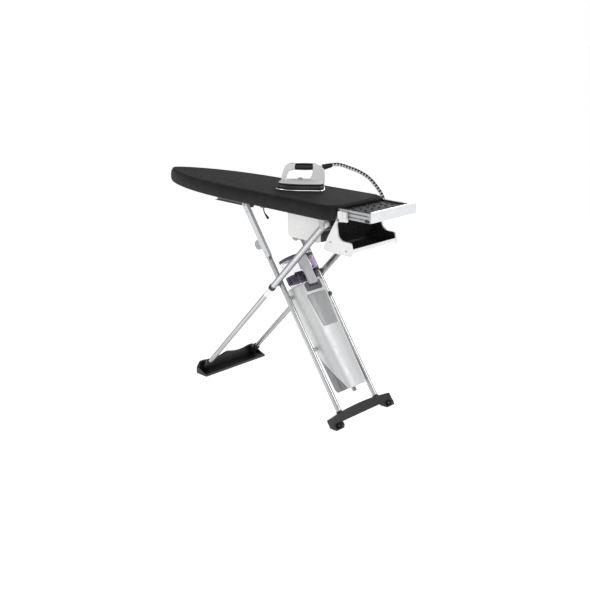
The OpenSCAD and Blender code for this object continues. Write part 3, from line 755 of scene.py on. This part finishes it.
def add_felt():
    rings = []
    for inset, z in ((18.4, 948.1), (17.4, 948.4), (18.2, 949.2), (20.6, 950), (24, 950.7)):
        rings.append([(x, y, z) for x, y in board_outline(inset, 200)])
    for s in (0.8, 0.5, 0.2):
        rings.append(
            [
                (
                    min(max(x, NOSE + 90), TAIL - 110) * (1 - s) + x * s,
                    y * s,
                    951.0 + cloth_relief(x * s, y * s) * 0.5,
                )
                for x, y in board_outline(24, 200)
            ]
        )
    pad = new_mesh("felt_padding", *skin(rings), ROW, 50)
    put(pad, "board", "felt", "felt_pad")


add_felt()
add_cover()

# ---------------------------------------------------------------- legs


def leg_tube(name, body, slot, matrix, y, low, high, radius, wall, node, slit=None):
    """An open-ended round tube along local Z, with an optional slit (from, to, facing)."""
    sides = 48
    edges = [low, low + 0.8] + [
        low + (high - low) * k / 40 for k in range(1, 40)
    ] + [high - 0.8, high]
    rings = []
    turns = [2 * math.pi * (i + 0.5) / sides for i in range(sides)]
    for k, v in enumerate(edges):
        r = radius - 0.8 if k in (0, len(edges) - 1) else radius
        rings.append([(r * math.cos(t), y + r * math.sin(t), v) for t in turns])

    def in_slit(k, i):
        if not slit:
            return False
        start, end, facing = slit
        angle = 2 * math.pi * (i + 1) / sides
        return start < edges[k] < end and math.sin(angle) * facing > 0.985

    obj = new_mesh(name, *skin(rings, True, False, False, in_slit), matrix, 60)
    thicken(obj, wall)
    return put(obj, body, slot, node)


def add_legs():
    for name, s in (("near", -1), ("far", 1)):
        leg_tube(
            f"upper_leg_{name}", "outer_legs", "chrome_tube", OUTER, s * 156, -17, 417, 14, 2,
            f"outer_tube_{name}", (40, 372, -s),
        )
        leg_tube(
            f"lower_leg_{name}", "lower_legs", "chrome_tube", OUTER, s * 156, -692, 20, 11, 1.5,
            f"lower_tube_{name}",
        )
        sleeve = turned(
            f"leg_sleeve_{name}",
            [(-84, 11.3), (-84, 12.4), (-83, 13), (-26, 13), (-25.6, 13.6), (-18, 13.6),
             (-17.2, 13.2), (-17.2, 11.3)],
            (0, s * 156, 0), (0, 0, 1), OUTER,
        )
        put(sleeve, "outer_legs", "white_plastic")
        collar = turned(
            f"leg_collar_{name}",
            [(-34, 13.1), (-34, 15.2), (-33, 16), (-19, 16), (-18, 15.4), (-18, 13.1)],
            (0, s * 156, 0), (0, 0, 1), OUTER,
        )
        put(collar, "outer_legs", "black_plastic")


def screw_head(name, matrix, centre, facing, radius, body, slot="zinc_steel"):
    """Domed screw head with a hexagon socket."""
    axis = Vector(facing).normalized()
    u = axis.orthogonal().normalized()
    v = axis.cross(u)
    rings = []
    for height, share, sides in ((0, 1, 36), (0.22, 1, 36), (0.4, 0.86, 36), (0.46, 0.6, 36),
                                 (0.46, 0.42, 6), (0.16, 0.42, 6)):
        ring = []
        for i in range(36):
            a = 2 * math.pi * i / 36
            r = radius * share
            if sides == 6:
                corner = (a % (math.pi / 3)) - math.pi / 6
                r *= math.cos(math.pi / 6) / math.cos(corner)
            ring.append(
                Vector(centre) + axis * height * radius * 0.8 + r * (math.cos(a) * u + math.sin(a) * v)
            )
        rings.append(ring)
    return put(new_mesh(name, *skin(rings), matrix, 35), body, slot)


add_legs()

# ---------------------------------------------------------------- generator

GEN_TOP, GEN_LOW, GEN_BACK_LOW = -43, -549, -545
GEN_POWER = 2.8
CREASE = [(-549, 48), (-510, 38), (-466, 20), (-410, -4), (-361, -27), (-300, -40), (-232, -47), (-190, -60)]
BACK_CUT = [(-545, -12), (-520, -34), (-470, -47), (-380, -60)]


def superellipse(a, b, power, cx, t):
    c, s = math.cos(t), math.sin(t)
    return (
        cx + a * math.copysign(abs(c) ** (2 / power), c),
        b * math.copysign(abs(s) ** (2 / power), s),
    )


def gen_half(v):
    return 92 + (v + 43) * 18 / 505


def crease_angle(v):
    """Angle round the section at which the front shell ends, at height v."""
    share = (between(CREASE, v) - 6) / 54
    if share <= -1:
        return math.pi
    return math.acos(math.copysign(abs(share) ** (GEN_POWER / 2), share))


def gen_point(v, t, out=0.0):
    w, y = superellipse(54 + out, gen_half(v) + out, GEN_POWER, 6, t)
    return w, y, v


def add_front_shell():
    rows = [GEN_LOW, GEN_LOW + 0.7, GEN_LOW + 2.4] + [GEN_LOW + 2.4 + 500 * k / 84 for k in range(1, 84)]
    rows += [GEN_TOP - 4, GEN_TOP - 1.2, GEN_TOP]
    rings = []
    for v in rows:
        top, low = GEN_TOP - v, v - GEN_LOW
        out = -0.9 * max(0, 1 - low / 2.4) - 2.2 * max(0, 1 - top / 4) ** 2
        reach = crease_angle(v)
        rings.append([gen_point(v, reach * (k / 60 - 1), out) for k in range(121)])

    def hidden(k, i):
        w, y, v = rings[k][i]
        return v > -83 and abs(y) < 49 and w > 0

    shell = new_mesh("generator_front_shell", *skin(rings, False, False, False, hidden), INNER, 40, 1e-5)
    thicken(shell, 2.6)
    put(shell, "inner_legs", "shell_silver")
    deck = []
    for out in (0, -24, -50):
        deck.append([gen_point(-47, 2 * math.pi * k / 120, -3 + out)[:2] + (-46.5,) for k in range(120)])
    for ring in deck[1:]:
        for k, (w, y, v) in enumerate(ring):
            ring[k] = (w, y, v - 2)
    top = new_mesh("generator_deck", *skin(deck, True, False, True), INNER, 40)
    put(top, "inner_legs", "shell_grey")
    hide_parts("generator_front")


def add_back_shell():
    rows = [GEN_BACK_LOW, GEN_BACK_LOW + 1.2, GEN_BACK_LOW + 5] + [
        GEN_BACK_LOW + 5 + 344 * k / 60 for k in range(1, 61)
    ]
    rings = []
    for v in rows:
        low = v - GEN_BACK_LOW
        out = -1.0 - 3.5 * max(0, 1 - low / 5) ** 2
        start = crease_angle(v)
        ring = []
        for k in range(81):
            t = start + (2 * math.pi - 2 * start) * k / 80
            w, y, _ = gen_point(v, t, out)
            cut = between(BACK_CUT, v)
            if w < cut:
                w = cut + (w - cut) * 0.08
            ring.append((w, y, v))
        rings.append(ring)
    shell = new_mesh("generator_back_shell", *skin(rings, False, True, False), INNER, 34, 1e-5)
    thicken(shell, 2.4)
    put(shell, "inner_legs", "shell_grey", "generator_back")
    lip = []
    for k in range(61):
        v = GEN_BACK_LOW + 5 + 330 * k / 60
        lip.append(gen_point(v, -crease_angle(v), -0.2))
    for name, side in (("near", 1), ("far", -1)):
        line = [(w, y * side, v) for w, y, v in lip]
        seam = tube(f"generator_seam_{name}", line, 0.9, 8, matrix=INNER)
        put(seam, "inner_legs", "dark_trim")


def shell_patch(name, low, high, half, out, cols=24, rows=24, dish=None, corner=0.0):
    """A sheet that follows the front shell: half(v) is its half width, out how proud it is."""
    rings = []
    for k in range(rows + 1):
        v = low + (high - low) * k / rows
        reach = half(v)
        near_end = min(v - low, high - v)
        if corner and near_end < corner:
            reach -= corner - math.sqrt(corner ** 2 - (corner - near_end) ** 2)
        ring = []
        for i in range(cols + 1):
            y = reach * (2 * i / cols - 1)
            t = math.asin(math.copysign(abs(y / gen_half(v)) ** (GEN_POWER / 2), y))
            w = superellipse(54, gen_half(v), GEN_POWER, 6, t)[0]
            ring.append((w + out + (dish(y, v) if dish else 0), y, v))
        rings.append(ring)
    return new_mesh(name, *skin(rings, False, False, False), INNER, 45)


def add_generator():
    add_front_shell()
    add_back_shell()

    def recess(y, v):
        depth = min(1, max(0, (30 - abs(y)) / 5)) * min(1, max(0, (v + 67) / 6))
        return -9 * depth

    trim = shell_patch("handle_recess", -87, GEN_TOP, lambda v: 50, 0.7, 60, 44, recess, 16)
    thicken(trim, 1.6)
    put(trim, "inner_legs", "dark_trim", "generator_trim")
    label = shell_patch(
        "label_sheet", -256, -100, lambda v: 45 + 15 * (v + 256) / 156, 1.1, 30, 40, None, 5
    )
    thicken(label, 0.8)
    put(label, "inner_legs", "label_grey", "label_plate")
    lugs = []
    for v in (-330, -80):
        for s in (-1, 1):
            inner = gen_half(v) - 3
            lug = prism(
                "lug", [(-22, v - 9), (-7, v - 9), (-7, v + 9), (-22, v + 9)],
                min(s * inner, s * 111.5), max(s * inner, s * 111.5), INNER, 2.5, 3,
            )
            lugs.append(lug)
    put(joined("generator_lugs", lugs), "inner_legs", "shell_silver")
    smooth(bpy.data.objects["generator_lugs"], 40)


add_generator()

# ---------------------------------------------------------------- water tank

TANK_X = 16


def tank_ring(v, a, b, arch=0.0, count=96):
    ring = []
    for k in range(count):
        w, y = superellipse(a, b, 3.4, TANK_X, 2 * math.pi * k / count)
        ring.append((w, y, v + arch * math.cos(math.pi * min(1, abs(y) / 90) / 2)))
    return ring


def add_tank():
    wall = [(-42.7, 26, 83), (-42, 27.5, 84.5), (-40, 28, 85), (-36, 28.4, 85.6), (-28, 29.4, 87)]
    wall += [(8, 29.4, 87), (11, 28, 86), (14, 27.6, 85.6)]
    wall += [(14 + 66 * k / 8, 27.6 + 0.4 * k / 8, 85.6 + 0.4 * k / 8) for k in range(1, 9)]
    shell = new_mesh(
        "tank_body", *skin([tank_ring(*r) for r in wall], True, True, False), INNER, 40
    )
    thicken(shell, 2.2)
    put(shell, "tank", "tank_clear", "water_tank")
    band = []
    band_edge = [(-27, 29.5, 87), (-26.5, 30, 88), (-25, 30.2, 88.2)]
    band_edge += [(7, 30.2, 88.2), (8.5, 30, 88), (9, 29.5, 87)]
    for v, a, b in band_edge:
        band.append(tank_ring(v, a, b))
    base = new_mesh("tank_band", *skin(band, True, False, False), INNER, 40)
    thicken(base, 1.2)
    put(base, "tank", "tank_dark")
    for k, y in enumerate((-52, -28, 28, 60)):
        rib = prism(
            f"tank_rib_{k}", [(45.6, -26), (47.4, -26), (47.4, 8), (45.6, 8)], y - 1.6, y + 1.6, INNER, 0.6, 2
        )
        put(rib, "tank", "tank_clear")
    rim = [(78, 27.4, 85.2, 0), (79, 28.4, 87, 0), (81, 29, 88, 0.5), (86, 29, 88, 3), (89, 28, 87, 6),
           (90.5, 25, 84, 8), (90, 20, 78, 8), (88, 14, 66, 7)]
    lid = new_mesh("tank_rim", *skin([tank_ring(*r) for r in rim]), INNER, 50)
    put(lid, "tank", "tank_dark", "tank_lid")


def add_filter():
    """Lilac cartridge with black rings, and the ribbed outlet valve across the handle from it."""
    body = BODY_OF["tank_filter"]
    grooves = [(0, 10.4), (0.6, 11.9)]
    for k in range(9):
        at = 4 + 7.6 * k
        grooves += [(at, 12), (at + 0.8, 11.2), (at + 2.2, 11.2), (at + 3, 12)]
    grooves += [(73.4, 11.9), (74, 10.4)]
    cartridge = turned("filter_cartridge", grooves, (59, 56, 4), (0, 0, 1), INNER, 40, 60)
    put(cartridge, body, "filter_lilac", "tank_filter")
    band = [(0, 11.4), (0, 13.8), (0.7, 14.5), (3.3, 14.5), (4, 13.8), (4, 11.4)]
    rings = [turned("ring", band, (59, 56, v), (0, 0, 1), INNER, 40) for v in (-4, 4, 70, 77)]
    peg = [(0, 4.4), (0.6, 5), (15, 5)]
    rings += [turned("peg", peg, (43, 56, v), (1, 0, 0), INNER, 24) for v in (20, 64)]
    put(joined("filter_rings", rings), body, "black_plastic")
    ribs = []
    for k in range(5):
        at = 9 * k
        ribs += [(at, 5), (at, 7.5), (at + 0.6, 8), (at + 4.4, 8), (at + 5, 7.5), (at + 5, 5)]
    valve = turned("valve", ribs, (55, -70, 6), (0, 1, 0), INNER, 36)
    foot = turned("foot", [(0, 2.8), (0.3, 3), (8, 3)], (46.4, -35, 6), (1, 0, 0), INNER, 24)
    put(joined("outlet_valve", [valve, foot]), body, "black_plastic")


add_tank()
add_filter()


# ---------------------------------------------------------------- iron

IRON_LEN, IRON_HALF = 215, 52


def iron_ring(inset, tail_in, z, count=128):
    corner = min(26, IRON_HALF - inset - 1)
    plan = whole_plan(inset, IRON_LEN - tail_in, IRON_HALF - inset, 120, corner, 0, 30)
    return [(x, y, z) for x, y in resampled(plan, count)]


def iron_loft(name, rows, sharp=35):
    return new_mesh(name, *skin([iron_ring(*row) for row in rows]), IRON, sharp)


def add_iron():
    sole = iron_loft(
        "iron_sole",
        [(4, 4, 0.3), (1.4, 1.4, 1.0), (0.3, 0.3, 2.2), (0, 0, 3.6), (0, 0, 5.4), (0.6, 0.6, 6.8), (3, 3, 8)],
    )
    put(sole, "iron", "sole_steel", "iron_soleplate")
    # Dark dimples in the sole: painted shade inside the steam holes.
    holes = []
    hole = [(0, 2.6), (0.12, 2.6), (0.12, 1.7), (1.2, 1.5)]
    for x, y in [(40 + 16 * k, s * (8 + 3.2 * k)) for k in range(7) for s in (-1, 1)]:
        holes.append(turned("hole", hole, (x, y, 0.28), (0, 0, 1), IRON, 16))
    put(joined("iron_steam_hole_shade", holes), "iron", "dark_trim")
    shield = iron_loft(
        "iron_heat_shield",
        [(5, 5, 7.6), (3.6, 3.6, 8.2), (2.6, 2.6, 10), (2.3, 2.3, 14), (3.2, 2.9, 19), (5.4, 4, 24),
         (8.6, 5.4, 28), (12.4, 7.2, 31), (16, 9, 32.6)],
    )
    put(shield, "iron", "black_plastic", "iron_body")
    shell = iron_loft(
        "iron_shell",
        [(12.6, 7.4, 30.6), (11.6, 6.6, 31.2), (11.8, 6.8, 32.4), (13.6, 7.6, 35), (17, 9, 38.6),
         (21.4, 11.4, 41.8), (27, 14.4, 44.6), (34, 19, 46.8), (40, 25, 47.7), (46, 34, 48)],
    )
    put(shell, "iron", "white_plastic")
    front = [(24, 40), (26.4, 58), (29.6, 74), (33.6, 88), (39, 99), (47, 107.8), (57, 113.6), (68, 116.4),
             (86, 117.2), (86, 86.6), (74, 87.4), (64, 85.4), (56, 79), (51, 69), (47.4, 56), (45, 44)]
    put(prism("iron_front_post", front, -13, 13, IRON, 5.4, 5), "iron", "white_plastic")
    rear = [(150, 44), (196, 30), (203, 14), (212, 13), (214.4, 40), (214.2, 84), (210, 94), (203, 102),
            (193, 109), (178, 115), (161.5, 117.2), (161.5, 86), (160, 74), (156, 60)]
    put(prism("iron_rear_post", rear, -15, 15, IRON, 5.4, 5), "iron", "white_plastic")
    grip = turned(
        "iron_handgrip",
        [(0, 11.6), (0.6, 13), (2.2, 13.9), (10, 14.5), (40, 15.2), (70, 14.6), (78.4, 13.9), (80, 13),
         (80.6, 11.6)],
        (83.4, 0, 101.6), (1, 0, 0), IRON,
    )
    put(grip, "iron", "grip_black", "iron_grip")
    ribs = [(8, 13.2), (13, 12.8)]
    for k in range(7):
        at, r = 16 + 4.6 * k, 11.9 - 0.36 * k
        ribs += [(at, r), (at + 0.7, r + 0.5), (at + 2.5, r + 0.4), (at + 3.1, r - 0.7), (at + 4, r - 0.8)]
    ribs += [(48.6, 9.2), (49.7, 8.8), (50, 7.7)]
    tilt = math.radians(76)
    boot = turned("iron_boot", ribs, (196, 0, 97), (math.sin(tilt), 0, math.cos(tilt)), IRON, 40, 50)
    put(boot, "iron", "grip_black")
    rim = [(0, 12.4), (0.3, 12.4), (0.5, 12), (0.5, 10.6), (0, 10.5)]
    ring = turned("dial_ring", rim, (108, 0, 47.9), (0, 0, 1), IRON)
    put(ring, "iron", "dark_trim")


add_iron()

# ---------------------------------------------------------------- bin, tray and small parts


# The tray's side details as (x, z, radius) of each hole and the outline of each end latch
RAIL_HOLES = [(640, 911.6, 1.6), (654, 911.6, 1.6), (668, 911.6, 1.6), (684, 912, 2.6), (694, 925, 2.0)]
LATCH = [(676, 909), (700, 909), (700, 917), (690, 922), (680, 922), (676, 917)]


def add_bin_details():
    for name, s in (("near", -1), ("far", 1)):
        # Thin dark strip down each corner bracket: painted shadow of the gap in it.
        seam = prism(f"bracket_gap_shade_{name}", [(570.6, 908), (571.4, 908), (571.4, 938.1), (570.6, 938.1)],
                     min(s * 139.9, s * 153.15), max(s * 139.9, s * 153.15), ROW, 0)
        put(seam, "board", "dark_trim")
        for k, (x, z) in enumerate(((500, 800), (586, 776))):
            screw_head(f"bin_screw_{name}_{k}", ROW, (x, s * 145, z), (0, s, 0), 4.2, "board")
        # Dark domes in the rail's holes: painted shade inside them.
        for k, (x, z, r) in enumerate(RAIL_HOLES):
            screw_head(f"rail_hole_shade_{name}_{k}", ROW, (x, s * 138.8, z), (0, s, 0), r, "tray", "dark_trim")
        # Two dark strips along each tray rail: painted shade of its grooves.
        for k, z in enumerate((919, 934)):
            line = [(592, z - 1.1), (702, z - 1.1), (702, z + 1.1), (592, z + 1.1)]
            low, high = sorted((s * 138.9, s * 139.3))
            groove_shade = prism(f"rail_groove_shade_{name}_{k}", line, low, high, ROW, 0)
            put(groove_shade, "tray", "dark_trim")
    latch = prism("tray_latch_near", LATCH, -139.8, -138.8, ROW, 0.4, 2)
    put(latch, "tray", "black_plastic")
    latch = prism("tray_latch_far", LATCH, 138.8, 139.8, ROW, 0.4, 2)
    put(latch, "tray", "black_plastic")


def add_rivets():
    for name, s in (("near", -1), ("far", 1)):
        for k, (w, v) in enumerate(((-20, 186), (-20, 216))):
            screw_head(f"disc_rivet_{name}_{k}", INNER, (w, s * 120, v), (0, s, 0), 3.4, "inner_legs")
        screw_head(f"channel_cap_{name}", INNER, (0, s * 129.6, 388), (0, s, 0), 7, "inner_legs")
        for k, v in enumerate((150, 352)):
            screw_head(f"channel_screw_{name}_{k}", INNER, (0, s * 129.5, v), (0, s, 0), 3.6, "inner_legs")


def add_inner_tubes():
    for name, s in (("near", -1), ("far", 1)):
        leg_tube(f"inner_leg_{name}", "inner_legs", "chrome_tube", INNER, s * 121, -640, 126, 11.5, 2,
                 f"inner_tube_{name}")
        edge = [(-627, 11.6), (-627, 14.6), (-619, 13.6), (-617.6, 12.6), (-617.6, 11.6)]
        collar = turned(f"inner_collar_{name}", edge, (0, s * 121, 0), (0, 0, 1), INNER)
        put(collar, "inner_legs", "black_plastic")


add_bin_details()
add_rivets()
add_inner_tubes()

# ---------------------------------------------------------------- carried-over parts

EDGE_ROUNDING = {
    "bin_side_near": (3.2, 4),
    "bin_side_far": (3.2, 4),
    "bin_bottom": (0.9, 2),
    "bin_liner": (1.0, 2),
    "tray_panel": (1.2, 3),
    "tray_frame": (1.0, 2),
    "tray_mat": (0.6, 2),
    "tray_rails": (0.6, 2),
    "tank_handle": (2.2, 4),
    "blower_housing": (1.6, 3),
    "blower_endplate": (2.5, 3),
    "front_foot": (1.8, 3),
    "rear_foot": (2.2, 3),
    "inner_channel_near": (1.4, 3),
    "inner_channel_far": (1.4, 3),
    "disc_brackets": (0.8, 2),
    "outer_end_caps": (1.6, 3),
    "wheel_near": (1.6, 3),
    "wheel_far": (1.6, 3),
    "rollers": (1.0, 2),
    "steam_button": (1.0, 3),
    "steam_dial": (0.7, 3),
    "pressure_knob": (1.0, 3),
    "drain_plug": (0.8, 2),
    "power_inlet": (0.8, 2),
    "leg_brackets": (0.7, 2),
    "roller_rails": (0.4, 2),
    "lever_bracket": (0.6, 2),
    "hose_guide": (0.9, 2),
    "tank_filter": (0.7, 2),
    "pivot_pins": (0.6, 2),
    "leg_hinge_pins": (0.6, 2),
    "fan_motor": (1.0, 2),
    "fan_impeller": (0.3, 1),
}

OWN_LOOK = {"bin_liner": "liner_black", "disc_brackets": "bracket_paint"}

for node, slot in SLOT_OF.items():
    part = frame["nodes"][node]
    if part.hide_render:
        continue
    part.data.materials.clear()
    part.data.materials.append(LOOKS[OWN_LOOK.get(node, slot)])
    smooth(part, 30)
    if node in EDGE_ROUNDING:
        bevel(part, *EDGE_ROUNDING[node])

# ---------------------------------------------------------------- floor and backdrop


# Centre in metres of a painted pool of light, where the floor's glow is brightest.
PAINTED_LIGHT_POOL = (-0.25, -1.25)


def add_stage():
    """A pale light table with a painted pool of brighter glow on it, under a sky that is white round the
    horizon and dim overhead.
    """
    reach = 40000
    corners = [(-reach, -reach, -0.5), (reach, -reach, -0.5), (reach, reach, -0.5), (-reach, reach, -0.5)]
    floor = new_mesh("floor", corners, [(0, 1, 2, 3)])
    g = Graph("studio_floor")
    g.colour(g.noise(2), (0.66, 0.66, 0.66), (0.69, 0.69, 0.69))
    g.fix(rough=0.6, specular=0.1)
    g.shader.inputs["Emission Color"].default_value = (1, 1, 1, 1)
    # Painted pool of light: the floor glows more strongly towards the pool's centre.
    centred = {"Vector": g.place, "Location": (PAINTED_LIGHT_POOL[0], PAINTED_LIGHT_POOL[1], 0), "Scale": (1.3, 1.3, 1)}
    painted_pool_place = g.add("ShaderNodeMapping", centred, vector_type="TEXTURE").outputs["Vector"]
    painted_pool = g.add("ShaderNodeTexGradient", {"Vector": painted_pool_place}, gradient_type="QUADRATIC_SPHERE")
    glow = {"Value": painted_pool.outputs["Fac"], "To Min": 0.82, "To Max": 2.6}
    g.feed("Emission Strength", g.add("ShaderNodeMapRange", glow).outputs["Result"])
    floor.data.materials.append(g.material)
    world = bpy.data.worlds.new("studio")
    bpy.context.scene.world = world
    world.use_nodes = True
    tree = world.node_tree
    back = tree.nodes["Background"]
    way = tree.nodes.new("ShaderNodeTexCoord").outputs["Generated"]
    height = tree.nodes.new("ShaderNodeSeparateXYZ")
    tree.links.new(way, height.inputs[0])
    ramp = tree.nodes.new("ShaderNodeValToRGB")
    tree.links.new(height.outputs["Z"], ramp.inputs["Fac"])
    stops = ramp.color_ramp
    stops.elements[0].position, stops.elements[0].color = 0.16, (1, 1, 1, 1)
    stops.elements[1].position, stops.elements[1].color = 0.8, (0.10, 0.10, 0.10, 1)
    middle = stops.elements.new(0.42)
    middle.color = (0.30, 0.30, 0.30, 1)
    tree.links.new(ramp.outputs["Color"], back.inputs["Color"])
    back.inputs["Strength"].default_value = 1.0
    bpy.context.scene.view_settings.view_transform = "Standard"


add_stage()
